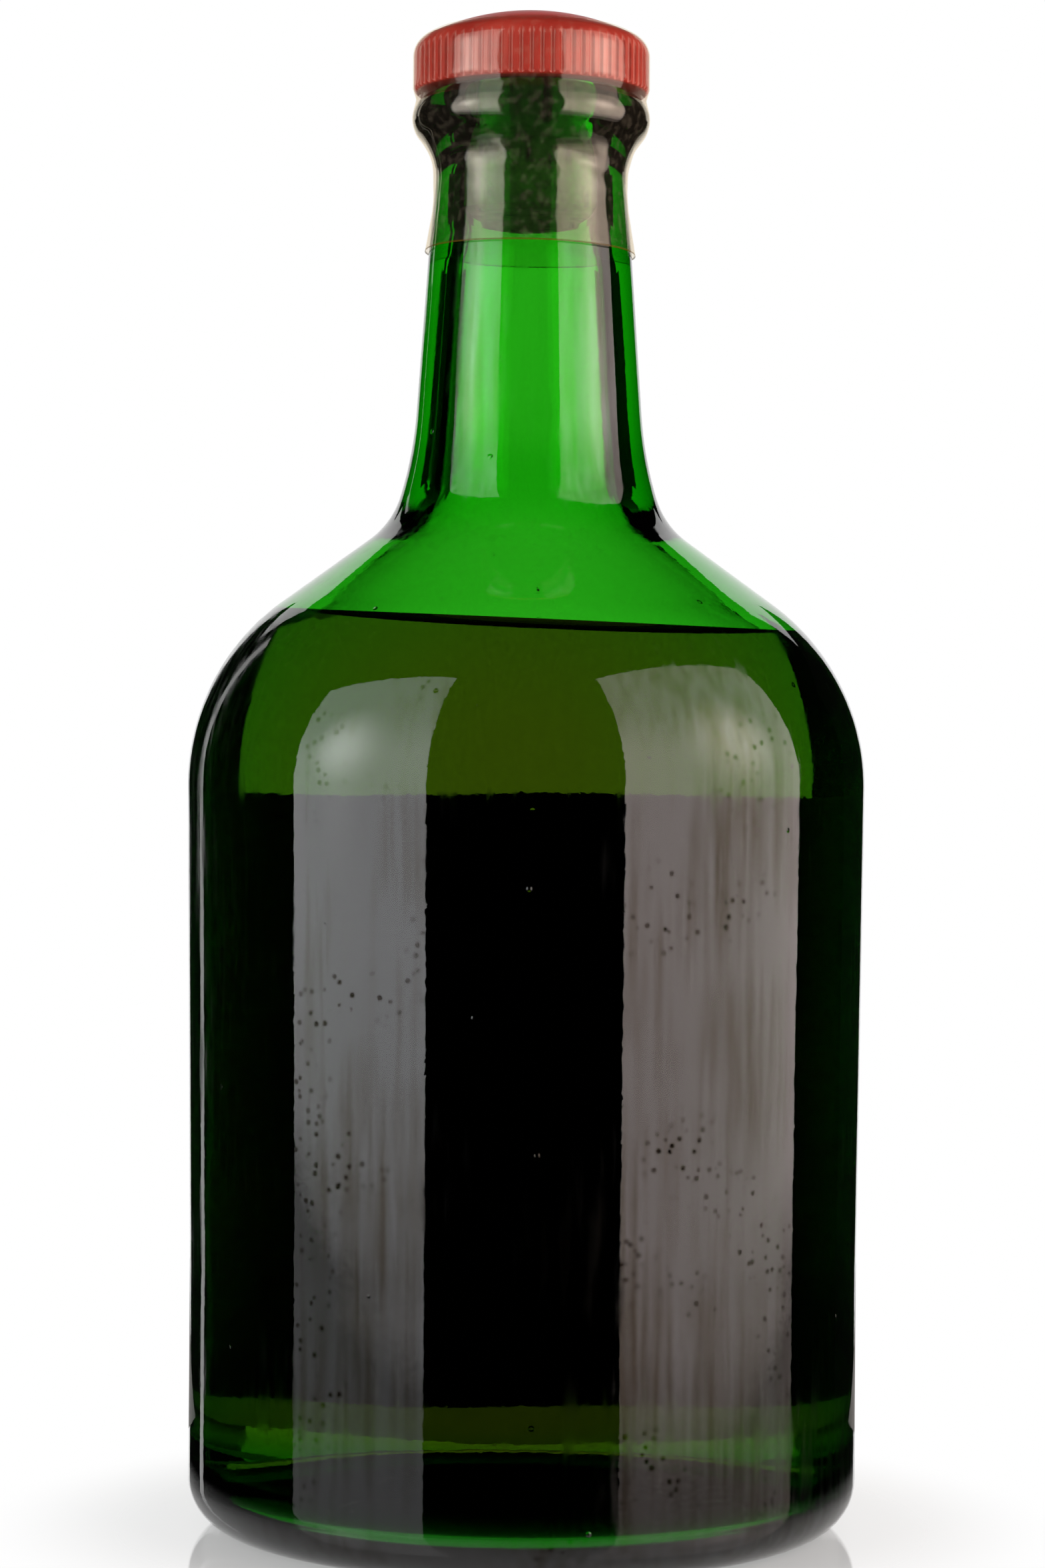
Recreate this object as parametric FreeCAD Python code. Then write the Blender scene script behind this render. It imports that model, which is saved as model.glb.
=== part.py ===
"""A squat green glass spirits bottle with a ribbed, cork-shanked stopper and a shrunk film sleeve.

Every piece but the label is turned about Z. The origin is the middle of the ring that the bottle
stands on, +Z is up, and the label faces +Y. Sizes are in millimetres and angles in degrees.
"""
import FreeCAD, Part
import math
import os

# Glass, outside: heel, body, shoulder and neck
body_radius = 48.0
heel_arc = 7.0
flare_start = 37.5
shoulder_radius = 48.8
shoulder_start = 106.3
shoulder_arc = 32.4
shoulder_slope = 53.9
shoulder_cone = 15.4
neck_root_arc = 12.2
neck_root_slope = 16.8
neck_foot_arc = 55.5
neck_taper = 4.0
upper_taper_start = 183.0
upper_taper = 5.3
neck_foot = 150.0

# Glass, mouth: a waist, then a round bead with a flat land on top
waist_start = 193.3
waist_arc = 8.4
bead_slope = 44.0
bead_arc = 3.71
lip_round = 1.2

# Glass, underside: a flat ring to stand on, round a shallow push-up
foot_ring_width = 3.0
push_up_height = 7.0
push_up_edge_arc = 4.0

# Glass, inside: bore for the cork, throat, then walls that follow the outside
bore_radius = 9.55
bore_length = 20.0
throat_taper = 3.6
throat_arc = 17.0
shoulder_wall = 3.6
body_wall = 3.4
inner_heel_height = 11.0
inner_heel_arc = 6.0
floor_lean = 20.0

# Contents
spirit_level = 129.5

# Stopper: a domed, ribbed head that sits on the lip, with a cork shank glued into its socket
head_radius = 16.98
head_seat_gap = 0.02
head_skirt = 5.26
head_corner_arc = 2.92
head_dome_radius = 34.3
head_foot_arc = 0.7
rib_count = 72
rib_groove_radius = 0.45
rib_groove_depth = 0.35
cork_radius = 9.5
cork_below_lip = 17.7
cork_in_socket = 3.0
cork_chamfer = 0.8

# Sleeve: one shrunk film, parted round its waist where the stopper leaves the neck
film = 0.12
film_head_gap = 0.06
film_rim_radius = 14.2
film_waist_radius = 16.53
film_waist_below_lip = 0.94
film_slit = 0.02
film_off_bead = 14.0
film_foot = 183.1
film_foot_tilt = 1.0
film_flare_length = 6.0
film_flare = 0.4

# Label on the far side
label_foot = 13.0
label_height = 92.0
label_width = 102.0
label_thickness = 0.12

origin = FreeCAD.Vector(0, 0, 0)
y_axis = FreeCAD.Vector(0, 1, 0)
z_axis = FreeCAD.Vector(0, 0, 1)


def sine(degrees):
    return math.sin(math.radians(degrees))


def cosine(degrees):
    return math.cos(math.radians(degrees))


def tangent(degrees):
    return math.tan(math.radians(degrees))


def at(radius, height):
    """A point of the half section."""
    return FreeCAD.Vector(radius, 0, height)


class Outline:
    """A half section drawn stretch by stretch. Heading 0 points away from the axis and 90 up."""

    def __init__(self, radius, height, heading=0.0):
        self.edges = []
        self.start = at(radius, height)
        self.point = self.start
        self.heading = heading

    def ahead(self, turned=0.0):
        """The unit step along the heading, or turned to its left by some degrees."""
        return at(cosine(self.heading + turned), sine(self.heading + turned))

    def face(self, heading):
        """A corner: a new heading at the same point."""
        self.heading = heading
        return self

    def line_to(self, radius, height):
        """A straight stretch to a point, which sets the heading."""
        end = at(radius, height)
        step = end - self.point
        self.edges.append(Part.LineSegment(self.point, end).toShape())
        self.heading = math.degrees(math.atan2(step.z, step.x))
        self.point = end
        return self

    def straight(self, length):
        end = self.point + self.ahead() * length
        return self.line_to(end.x, end.z)

    def climb_to(self, height):
        """A straight stretch along the heading, up or down to a height."""
        return self.straight((height - self.point.z) / sine(self.heading))

    def turn(self, arc, degrees):
        """An arc that starts along the heading, to the left where degrees is positive."""
        side = math.copysign(90.0, degrees)
        centre = self.point + self.ahead(side) * arc
        halfway = centre - self.ahead(side + degrees / 2) * arc
        end = centre - self.ahead(side + degrees) * arc
        self.edges.append(Part.Arc(self.point, halfway, end).toShape())
        self.heading += degrees
        self.point = end
        return self

    def turned(self, degrees=360.0, start=0.0):
        """The solid that the closed section sweeps about Z, from a starting angle."""
        solid = Part.Face(Part.Wire(self.edges)).revolve(origin, z_axis, degrees)
        solid.rotate(origin, z_axis, start)
        return solid


def mouth(outline, over_bead, offset=0.0):
    """Waist and bead, set out from the glass by offset, up to an angle over the bead's equator."""
    outline.turn(waist_arc - offset, -upper_taper - bead_slope)
    outline.turn(bead_arc + offset, bead_slope + over_bead)
    return outline


def glass_below_waist(outline):
    """Heel, body, shoulder and neck, from the foot ring up to where the waist starts."""
    outline.turn(heel_arc, 90.0)
    outline.line_to(body_radius, flare_start)
    outline.line_to(shoulder_radius, shoulder_start).face(90.0)
    outline.turn(shoulder_arc, shoulder_slope)
    outline.straight(shoulder_cone)
    outline.turn(neck_root_arc, neck_root_slope - shoulder_slope)
    outline.turn(neck_foot_arc, neck_taper - neck_root_slope)
    outline.climb_to(upper_taper_start).face(90.0 + upper_taper)
    return outline.climb_to(waist_start)


def glass_outside():
    """The whole outside, up to the flat lip."""
    return mouth(glass_below_waist(Outline(foot_edge, 0)), 90.0)


foot_edge = body_radius - heel_arc
waist_radius = glass_below_waist(Outline(foot_edge, 0)).point.x
lip_height = glass_outside().point.z
head_foot = lip_height + head_seat_gap


def glass_inside(outline):
    """Bore, throat, shoulder, body and domed floor, from the mouth down to the axis."""
    inner_arc = shoulder_arc - shoulder_wall
    arc_centre = at(shoulder_radius - shoulder_arc, shoulder_start)
    cone_out = at(cosine(shoulder_slope), sine(shoulder_slope))
    cone_down = at(sine(shoulder_slope), -cosine(shoulder_slope))
    throat_down = at(sine(throat_taper), -cosine(throat_taper))
    bore_end = at(bore_radius, lip_height - bore_length)
    cone_end = arc_centre + cone_out * inner_arc

    # The throat runs on until it meets the shoulder's inner cone, and an arc rounds that corner
    to_cone = (cone_end - bore_end).dot(cone_out) / throat_down.dot(cone_out)
    rounding = throat_arc * tangent((shoulder_slope - throat_taper) / 2)
    throat_end = bore_end + throat_down * (to_cone - rounding)

    outline.line_to(bore_end.x, bore_end.z)
    outline.line_to(throat_end.x, throat_end.z)
    outline.turn(throat_arc, shoulder_slope - throat_taper)
    outline.straight((cone_end - outline.point).dot(cone_down))
    outline.turn(inner_arc, -shoulder_slope)
    outline.line_to(body_radius - body_wall, flare_start).face(-90.0)
    outline.climb_to(inner_heel_height)
    outline.turn(inner_heel_arc, -90.0 - floor_lean)
    return outline.turn(outline.point.x / sine(floor_lean), floor_lean)


def push_up(outline):
    """The underside, from the axis down to the foot ring: a dome, then a round edge."""
    ring = foot_edge - foot_ring_width
    lean = 2 * math.degrees(math.atan(push_up_height / ring))
    both_arcs = ring / sine(lean)
    outline.turn(both_arcs - push_up_edge_arc, -lean)
    return outline.turn(push_up_edge_arc, lean)


def whole_glass():
    """Outside, lip, inside, and the push-up back to the foot ring."""
    outline = glass_outside()
    outline.line_to(bore_radius + lip_round, lip_height)
    outline.turn(lip_round, 90.0)
    glass_inside(outline)
    outline.line_to(0, push_up_height).face(0.0)
    push_up(outline)
    outline.line_to(foot_edge, 0)
    return outline.turned()


def neck_space():
    """All that lies above the height where the neck begins."""
    return Part.makeCylinder(shoulder_radius, lip_height, at(0, neck_foot))


def make_bottle():
    """The glass of heel, body and shoulder."""
    return whole_glass().cut(neck_space())


def make_bottle_neck():
    """The glass of neck and mouth, a plain tube that carries on from the shoulder."""
    return whole_glass().common(neck_space())


def make_spirit():
    """The contents: all that the inside holds below their level surface."""
    inside = glass_inside(Outline(bore_radius, lip_height, -90.0))
    inside.line_to(0, lip_height)
    inside.line_to(bore_radius, lip_height)
    ullage = Part.makeCylinder(shoulder_radius, lip_height, at(0, spirit_level))
    return inside.turned().cut(ullage)


def head_top(outline, offset=0.0, rim_radius=0.0):
    """The head's corner and dome, set out by offset, up to the axis or to a rim."""
    dome = head_dome_radius + offset
    meeting = math.degrees(math.acos((head_radius - head_corner_arc) / (head_dome_radius - head_corner_arc)))
    rim = math.degrees(math.acos(rim_radius / dome))
    outline.turn(head_corner_arc + offset, meeting)
    return outline.turn(dome, rim - meeting)


def make_stopper_head():
    """The moulded head: domed top, skirt with upright grooves, and a socket for the cork."""
    socket_top = head_foot + cork_in_socket
    outline = Outline(0, socket_top)
    outline.line_to(cork_radius, socket_top)
    outline.line_to(cork_radius, head_foot)
    outline.line_to(head_radius - head_foot_arc, head_foot)
    outline.turn(head_foot_arc, 90.0)
    outline.climb_to(head_foot + head_skirt)
    head_top(outline)
    outline.line_to(0, socket_top)
    groove_centre = head_radius + rib_groove_radius - rib_groove_depth
    groove_height = head_skirt + head_corner_arc
    grooves = []
    for rib in range(rib_count):
        groove = Part.makeCylinder(rib_groove_radius, groove_height, at(groove_centre, head_foot))
        groove.rotate(origin, z_axis, rib * 360.0 / rib_count)
        grooves.append(groove)
    return outline.turned().cut(grooves)


def make_stopper_cork():
    """The cork shank: a chamfered cylinder from the head's socket down into the bore."""
    cork_foot = lip_height - cork_below_lip
    outline = Outline(0, cork_foot)
    outline.line_to(cork_radius - cork_chamfer, cork_foot)
    outline.line_to(cork_radius, cork_foot + cork_chamfer)
    outline.line_to(cork_radius, head_foot + cork_in_socket)
    outline.line_to(0, head_foot + cork_in_socket)
    outline.line_to(0, cork_foot)
    return outline.turned()


def film_wall(inner, outer):
    """The film between two sections that run the same way, closed at both ends."""
    foot = Outline(inner.start.x, inner.start.z).line_to(outer.start.x, outer.start.z)
    top = Outline(inner.point.x, inner.point.z).line_to(outer.point.x, outer.point.z)
    wall = Outline(inner.start.x, inner.start.z)
    wall.edges = Part.__sortEdges__(inner.edges + top.edges + outer.edges + foot.edges)
    return wall


def make_sleeve_top():
    """The film round the head: from the waist out to the skirt, up it and over the dome's edge."""
    waist_height = lip_height - film_waist_below_lip + film_slit
    skirt_foot = head_foot + head_foot_arc
    sides = []
    for offset in (film_head_gap, film_head_gap + film):
        side = Outline(film_waist_radius + offset - film_head_gap, waist_height)
        side.line_to(head_radius + offset, skirt_foot).face(90.0)
        side.climb_to(head_foot + head_skirt)
        head_top(side, offset, film_rim_radius)
        sides.append(side)
    return film_wall(*sides).turned()


def make_sleeve_neck():
    """The film round the neck: flared at its crooked foot, tight on the bead, then up to the waist."""
    lowest = film_foot - 2 * shoulder_radius * tangent(film_foot_tilt)
    flare_top = film_foot + film_flare_length
    glass_at_flare_top = waist_radius + (waist_start - flare_top) * tangent(upper_taper)
    lean_out = tangent(upper_taper) + film_flare / film_flare_length
    waist_height = lip_height - film_waist_below_lip
    sides = []
    for offset in (0.0, film):
        side = Outline(glass_at_flare_top + offset + lean_out * (flare_top - lowest), lowest)
        side.line_to(glass_at_flare_top + offset, flare_top)
        glass = at(waist_radius, waist_start) + at(cosine(upper_taper), sine(upper_taper)) * offset
        side.line_to(glass.x, glass.z).face(90.0 + upper_taper)
        mouth(side, film_off_bead, offset)
        side.line_to(film_waist_radius + offset, waist_height)
        sides.append(side)
    trim = Part.makeBox(2 * body_radius, 2 * body_radius, body_radius)
    trim.translate(FreeCAD.Vector(-body_radius, -body_radius, film_foot - body_radius))
    trim.rotate(at(0, film_foot), y_axis, film_foot_tilt)
    return film_wall(*sides).turned().cut(trim)


def make_front_label():
    """The paper label, wrapped on the body's lower cylinder and its flare."""
    label_top = label_foot + label_height
    share = (label_top - flare_start) / (shoulder_start - flare_start)
    top_radius = body_radius + (shoulder_radius - body_radius) * share
    outline = Outline(body_radius, label_foot)
    outline.line_to(body_radius + label_thickness, label_foot)
    outline.line_to(body_radius + label_thickness, flare_start)
    outline.line_to(top_radius + label_thickness, label_top)
    outline.line_to(top_radius, label_top)
    outline.line_to(body_radius, flare_start)
    outline.line_to(body_radius, label_foot)
    wrap = math.degrees(label_width / body_radius)
    return outline.turned(wrap, 90.0 - wrap / 2)


nodes = {
    "bottle": make_bottle,
    "bottle_neck": make_bottle_neck,
    "spirit": make_spirit,
    "stopper_head": make_stopper_head,
    "stopper_cork": make_stopper_cork,
    "sleeve_top": make_sleeve_top,
    "sleeve_neck": make_sleeve_neck,
    "front_label": make_front_label,
}

os.makedirs("parts", exist_ok=True)
for name, make in nodes.items():
    shape = make()
    shape.exportStep(os.path.join("parts", name + ".step"))
    box = shape.BoundBox
    print(f"{name}: valid {shape.isValid()}, {shape.Volume / 1000:.2f} ml,"
          f" height {box.ZMin:.2f} to {box.ZMax:.2f}, across {box.XLength:.2f}")
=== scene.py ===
"""Looks of a squat green glass spirits bottle with a ribbed cork stopper under a shrunk film.

Every piece but the label is a half section turned about Z. Sizes are in millimetres and angles in
degrees until a mesh is made, which is in metres.
"""
import math

import bpy
import numpy as np
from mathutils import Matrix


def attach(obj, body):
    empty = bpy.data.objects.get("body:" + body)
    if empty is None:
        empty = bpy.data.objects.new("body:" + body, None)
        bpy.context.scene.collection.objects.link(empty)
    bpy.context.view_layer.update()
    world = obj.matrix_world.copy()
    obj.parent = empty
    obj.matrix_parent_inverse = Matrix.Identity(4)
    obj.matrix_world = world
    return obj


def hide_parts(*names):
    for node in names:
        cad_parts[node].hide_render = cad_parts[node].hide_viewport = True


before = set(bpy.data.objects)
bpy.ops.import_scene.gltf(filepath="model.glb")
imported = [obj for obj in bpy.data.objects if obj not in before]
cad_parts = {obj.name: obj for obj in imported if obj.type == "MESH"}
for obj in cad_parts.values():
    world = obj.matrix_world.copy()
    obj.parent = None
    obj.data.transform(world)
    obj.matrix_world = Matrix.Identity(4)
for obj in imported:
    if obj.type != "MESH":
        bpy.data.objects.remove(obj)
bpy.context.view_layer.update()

MM = 0.001

# Glass, outside
body_radius = 48.0
heel_arc = 7.0
flare_start = 37.5
shoulder_radius = 48.77
shoulder_start = 106.3
shoulder_arc = 32.4
shoulder_slope = 53.9
shoulder_cone = 15.4
neck_root_arc = 12.2
neck_root_slope = 16.8
neck_foot_arc = 55.5
neck_taper = 4.0
upper_taper_start = 183.0
upper_taper = 5.3
waist_start = 193.3
waist_arc = 8.4
bead_slope = 44.0
bead_arc = 3.71
lip_round = 1.2
foot_edge = body_radius - heel_arc
foot_ring_width = 3.0
push_up_height = 7.0
push_up_edge_arc = 4.0

# Glass, inside
bore_radius = 9.55
bore_length = 20.0
throat_taper = 3.6
throat_flare = 0.9
throat_flare_length = 5.0
throat_arc = 17.0
shoulder_wall = 3.6
body_wall = 3.4
inner_heel_height = 11.0
inner_heel_arc = 6.0
floor_lean = 20.0

# Glass, as blown: how deep its waves are, and one blister on the inside of the neck
outer_wave = 0.012
inner_wave = 0.07
blister_depth = 0.25
blister_angle = -83.0
blister_height = 158.6
blister_radius = 1.5

# Contents: the spirit wets the glass, so its skin lies a little inside the wall
spirit_level = 124.7
spirit_lean = 2.05
spirit_lean_depth = 22
spirit_into_wall = 0.15
meniscus_rise = 3.0
meniscus_reach = 3.0

# Stopper
head_radius = 16.98
head_seat_gap = 0.02
head_skirt = 5.26
head_corner_arc = 2.92
head_dome_radius = 34.3
head_foot_arc = 0.7
rib_count = 72
rib_groove_radius = 0.45
rib_groove_depth = 0.35
cork_radius = 9.5
cork_below_lip = 18.25
cork_in_socket = 3.0
cork_glue = 0.05
cork_chamfer = 0.8
cork_pit_depth = 0.22

# Sleeve
film = 0.08
film_head_gap = 0.08
film_glass_gap = 0.03
film_rim_radius = 14.2
film_rim_crease = 0.05
film_waist_radius = 16.56
film_waist_below_lip = 0.94
film_slit = 0.02
film_off_bead = 14.0
film_pucker = 0.28
film_foot = 183.1
film_foot_tilt = 1.0
film_foot_pucker = 0.05
film_flare_length = 6.0
film_flare = 0.4

# Label, and how many millimetres of it one unit of its map takes
label_foot = 13.0
label_height = 92.0
label_width = 102.0
label_thickness = 0.09
label_glue = 0.02
label_map = 100.0

# Points round each turned piece
glass_points = 280
spirit_points = 192
points_per_rib = 16
cork_points = 240
film_points = 256
floor_points = 96


class Section:
    """A half section as an array of (radius, height) points, drawn stretch by stretch.

    Heading 0 points away from the axis and 90 up. A straight stretch is start plus share times the
    step, and an arc is its centre plus its radius times the cosine and sine of even angles.
    """

    def __init__(self, radius, height, heading=0.0):
        self.points = np.array([[radius, height]])
        self.heading = heading

    def face(self, heading):
        self.heading = heading
        return self

    def line_to(self, radius, height, spacing=1.6):
        start, end = self.points[-1], np.array([radius, height])
        step = end - start
        count = max(1, round(float(np.hypot(*step)) / spacing))
        share = np.linspace(0, 1, count + 1)[1:, None]
        self.points = np.vstack([self.points, start + step * share])
        self.heading = math.degrees(math.atan2(step[1], step[0]))
        return self

    def straight(self, length, spacing=1.6):
        ahead = np.radians(self.heading)
        end = self.points[-1] + length * np.array([np.cos(ahead), np.sin(ahead)])
        return self.line_to(end[0], end[1], spacing)

    def climb_to(self, height, spacing=1.6):
        rise = height - self.points[-1][1]
        return self.straight(rise / math.sin(math.radians(self.heading)), spacing)

    def turn(self, arc, degrees, spacing=1.0):
        coarsest = 9
        count = max(3, round(abs(math.radians(degrees)) * arc / spacing),
                    round(abs(degrees) / coarsest))
        outward = math.radians(self.heading - math.copysign(90.0, degrees))
        centre = self.points[-1] - arc * np.array([math.cos(outward), math.sin(outward)])
        angles = outward + math.radians(degrees) * np.linspace(0, 1, count + 1)[1:]
        spread = np.column_stack([np.cos(angles), np.sin(angles)])
        self.points = np.vstack([self.points, centre + arc * spread])
        self.heading += degrees
        return self


def mouth(section, over_bead, offset=0.0, spacing=0.45):
    """Waist and bead: two arcs that meet on one heading, set out from the glass by offset."""
    section.turn(waist_arc - offset, -upper_taper - bead_slope, spacing)
    return section.turn(bead_arc + offset, bead_slope + over_bead, spacing)


def glass_below_waist(section):
    """Heel arc, two walls, shoulder arc, cone, two neck arcs and two tapers, end to end."""
    section.turn(heel_arc, 90.0)
    section.line_to(body_radius, flare_start, 2.4)
    section.line_to(shoulder_radius, shoulder_start, 2.4).face(90.0)
    section.turn(shoulder_arc, shoulder_slope, 1.2)
    section.straight(shoulder_cone, 1.6)
    section.turn(neck_root_arc, neck_root_slope - shoulder_slope, 0.9)
    section.turn(neck_foot_arc, neck_taper - neck_root_slope, 0.9)
    section.climb_to(upper_taper_start, 0.9).face(90.0 + upper_taper)
    return section.climb_to(waist_start, 1.2)


lip_height = mouth(glass_below_waist(Section(foot_edge, 0)), 90.0).points[-1][1]
waist_radius = glass_below_waist(Section(foot_edge, 0)).points[-1][0]
head_foot = lip_height + head_seat_gap


def glass_inside(section):
    """Bore, throat, shoulder, body and domed floor, down to the axis.

    An arc rounds the throat into the cone: it leaves the throat its tangent length above the point
    where the two lines cross, and the tangent length is the arc times the tangent of half the turn.
    """
    slope, taper = math.radians(shoulder_slope), math.radians(throat_taper)
    inner_arc = shoulder_arc - shoulder_wall
    cone_out = np.array([math.cos(slope), math.sin(slope)])
    cone_down = np.array([math.sin(slope), -math.cos(slope)])
    throat_down = np.array([math.sin(taper), -math.cos(taper)])
    cone_end = np.array([shoulder_radius - shoulder_arc, shoulder_start]) + cone_out * inner_arc
    bore_end = np.array([bore_radius, lip_height - bore_length])
    throat_start = bore_end + np.array([throat_flare, -throat_flare_length])
    to_cone = (cone_end - throat_start) @ cone_out / (throat_down @ cone_out)
    tangent = throat_arc * math.tan((slope - taper) / 2)
    throat_end = throat_start + throat_down * (to_cone - tangent)
    section.line_to(*bore_end, 2.0)
    section.line_to(*throat_start, 0.8)
    section.line_to(*throat_end, 2.0)
    section.turn(throat_arc, shoulder_slope - throat_taper, 1.0)
    section.straight((cone_end - section.points[-1]) @ cone_down, 1.6)
    section.turn(inner_arc, -shoulder_slope, 1.4)
    section.line_to(body_radius - body_wall, flare_start, 3.0).face(-90.0)
    section.climb_to(inner_heel_height, 3.0)
    section.turn(inner_heel_arc, -90.0 - floor_lean, 1.0)
    lean_arc = section.points[-1][0] / math.sin(math.radians(floor_lean))
    return section.turn(lean_arc, floor_lean, 2.4)


def push_up_from_axis():
    """The underside from axis to foot ring: a dome arc and a rounded edge that end level."""
    ring = foot_edge - foot_ring_width
    lean = 2 * math.degrees(math.atan(push_up_height / ring))
    section = Section(0, push_up_height)
    section.turn(ring / math.sin(math.radians(lean)) - push_up_edge_arc, -lean, 2.4)
    section.turn(push_up_edge_arc, lean, 0.6)
    return section.line_to(foot_edge, 0, 1.0)


def on_axis(points):
    """The points, with an end that should be on the axis put exactly there."""
    points = points.copy()
    points[np.abs(points[:, 0]) < 1e-6, 0] = 0.0
    return points


def turned(name, points, count, shape=None, loop=False):
    """A mesh turned about Z: x = r cos a, y = r sin a, z = h, over every point (r, h) and angle a.

    shape(r, h, a) may bend the whole grid. An end on the axis becomes one pole; a loop closes the
    section on itself. Sections run with their solid on the left, so that faces point outwards.
    """
    angle = np.linspace(0, 2 * np.pi, count, endpoint=False)[None, :]
    radius = np.repeat(points[:, :1], count, axis=1)
    height = np.repeat(points[:, 1:], count, axis=1)
    if shape:
        radius, height = shape(radius, height, angle)
    grid = np.stack([radius * np.cos(angle), radius * np.sin(angle), height], axis=2)
    rows = len(points)
    first = 1 if not loop and points[0, 0] == 0.0 else 0
    last = rows - 1 if not loop and points[-1, 0] == 0.0 else rows
    vertices = grid[first:last].reshape(-1, 3)
    along = np.arange(last - first if loop else last - first - 1)[:, None]
    around = np.arange(count)[None, :]
    up, beside = (along + 1) % (last - first), (around + 1) % count
    faces = np.stack([along * count + around, along * count + beside,
                      up * count + beside, up * count + around], axis=2).reshape(-1, 4).tolist()
    edge = np.arange(count)
    if first:
        pole = len(vertices)
        vertices = np.vstack([vertices, grid[0].mean(axis=0)])
        faces += np.column_stack([np.full(count, pole), (edge + 1) % count, edge]).tolist()
    if last < rows:
        pole, top = len(vertices), (last - first - 1) * count
        vertices = np.vstack([vertices, grid[-1].mean(axis=0)])
        faces += np.column_stack([np.full(count, pole), top + edge,
                                  top + (edge + 1) % count]).tolist()
    return solid(name, vertices, faces)


def solid(name, vertices, faces):
    """A smooth mesh object from points in millimetres, creased where faces meet too sharply."""
    crease = 40
    mesh = bpy.data.meshes.new(name)
    mesh.from_pydata((np.asarray(vertices) * MM).tolist(), [], faces)
    mesh.shade_smooth()
    mesh.set_sharp_from_angle(angle=math.radians(crease))
    piece = bpy.data.objects.new(name, mesh)
    bpy.context.scene.collection.objects.link(piece)
    return piece


def sheet(name, grid):
    """A mesh over an open grid: each face joins a point to its neighbours by row and column."""
    rows, columns = grid.shape[:2]
    corner = np.arange(rows - 1)[:, None] * columns + np.arange(columns - 1)[None, :]
    quads = np.stack([corner, corner + columns, corner + columns + 1, corner + 1], axis=2)
    return solid(name, grid.reshape(-1, 3), quads.reshape(-1, 4).tolist())


def mark_dry(piece, rows, count):
    """Notes at each point whether air lies against it (1) or glass and spirit meet there (0).

    A turned mesh has its rows in order and its poles last, and the poles follow the end rows.
    """
    values = np.repeat(rows[1:-1], count)
    values = np.concatenate([values, [rows[0], rows[-1]]]).astype(np.float32)
    piece.data.attributes.new("dry", "FLOAT", "POINT").data.foreach_set("value", values)


def unevenness(height, angle, waves, first_length):
    """A mean of sines, each with its own whole turns round the piece, length up it and start."""
    shortening, start = 0.45, 1.7
    turns = np.arange(1, waves + 1)[:, None, None]
    length = first_length / (1 + shortening * turns)
    phase = turns * angle[None] + 2 * np.pi * height[None] / length + start * turns ** 2
    return np.sin(phase).mean(axis=0)


def smooth_step(value, low, high):
    """0 below low, 1 above high, and between them the share squared times (3 - 2 shares)."""
    share = np.clip((value - low) / (high - low), 0, 1)
    return share * share * (3 - 2 * share)


def make_glass():
    """The glass skin: r less a faint wave outside, and r plus a deeper wave less a blister inside.

    The waves fade out at the heel, at the bead, in the bore and towards the floor's middle, and the
    blister is exp(-(distance / its radius) squared).
    """
    section = push_up_from_axis().face(0.0)
    mouth(glass_below_waist(section), 90.0)
    outside_rows = len(section.points)
    section.line_to(bore_radius + lip_round, lip_height, 1.0)
    section.turn(lip_round, 90.0, 0.4)
    glass_inside(section)
    outside = np.arange(len(section.points)) < outside_rows

    def shape(radius, height, angle):
        outer, inner = outside[:, None], ~outside[:, None]
        outer_share = (outer * smooth_step(height, 0.5, 9.0)
                       * (1 - smooth_step(height, 190, 195)))
        inner_share = (inner * (1 - smooth_step(height, 184, 188))
                       * smooth_step(radius, 0, 30))
        turn = (angle - math.radians(blister_angle) + np.pi) % (2 * np.pi) - np.pi
        off_blister = (turn * radius) ** 2 + (height - blister_height) ** 2
        blister = np.exp(-off_blister / blister_radius ** 2)
        radius = radius - outer_share * outer_wave * (1 + unevenness(height, angle, 7, 70.0))
        radius = radius + inner_share * inner_wave * unevenness(height, angle + 0.6, 6, 90.0)
        return radius - inner * blister_depth * blister, height

    piece = turned("glass", on_axis(section.points), glass_points, shape)
    above_spirit = section.points[:, 1] > spirit_level + meniscus_rise
    mark_dry(piece, np.where(outside | above_spirit, 1.0, 0.0), glass_points)
    return piece


def make_spirit():
    """The contents: the inside, set into the wall, up to a skin that climbs it as exp(-distance).

    The level leans: height less x times the tangent of the lean, fading out below the skin, and the
    radius follows the wall to its new height.
    """
    inside = glass_inside(Section(bore_radius, lip_height, -90.0)).points[::-1]
    step = np.gradient(inside, axis=0)
    step /= np.linalg.norm(step, axis=1)[:, None]
    wall = inside + spirit_into_wall * np.column_stack([step[:, 1], -step[:, 0]])
    wall[0] = [0.0, inside[0, 1] - spirit_into_wall]
    brim = spirit_level + meniscus_rise
    wall = wall[wall[:, 1] < brim]
    edge = np.interp(brim, inside[:, 1], inside[:, 0]) + spirit_into_wall
    skin_rows, crowding = 60, 2.2
    inward = edge * (1 - np.linspace(0, 1, skin_rows) ** crowding)
    skin = spirit_level + meniscus_rise * np.exp((inward - edge) / meniscus_reach)
    points = on_axis(np.vstack([wall, np.column_stack([inward, skin])]))
    skin_edge = len(wall)

    def shape(radius, height, angle):
        near_skin = smooth_step(height, spirit_level - spirit_lean_depth, spirit_level)
        lean = -radius * np.cos(angle) * math.tan(math.radians(spirit_lean)) * near_skin
        wall_radius = np.interp(height + lean, inside[:, 1], inside[:, 0]) + spirit_into_wall
        on_wall = np.where(near_skin > 0, wall_radius, radius)
        share = radius / np.maximum(radius[skin_edge][None, :], 1e-9)
        row = np.arange(len(radius))[:, None]
        return np.where(row < skin_edge, on_wall, share * wall_radius[skin_edge]), height + lean

    piece = turned("spirit_fill", points, spirit_points, shape)
    mark_dry(piece, (np.arange(len(points)) > skin_edge).astype(float), spirit_points)
    return piece


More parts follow.
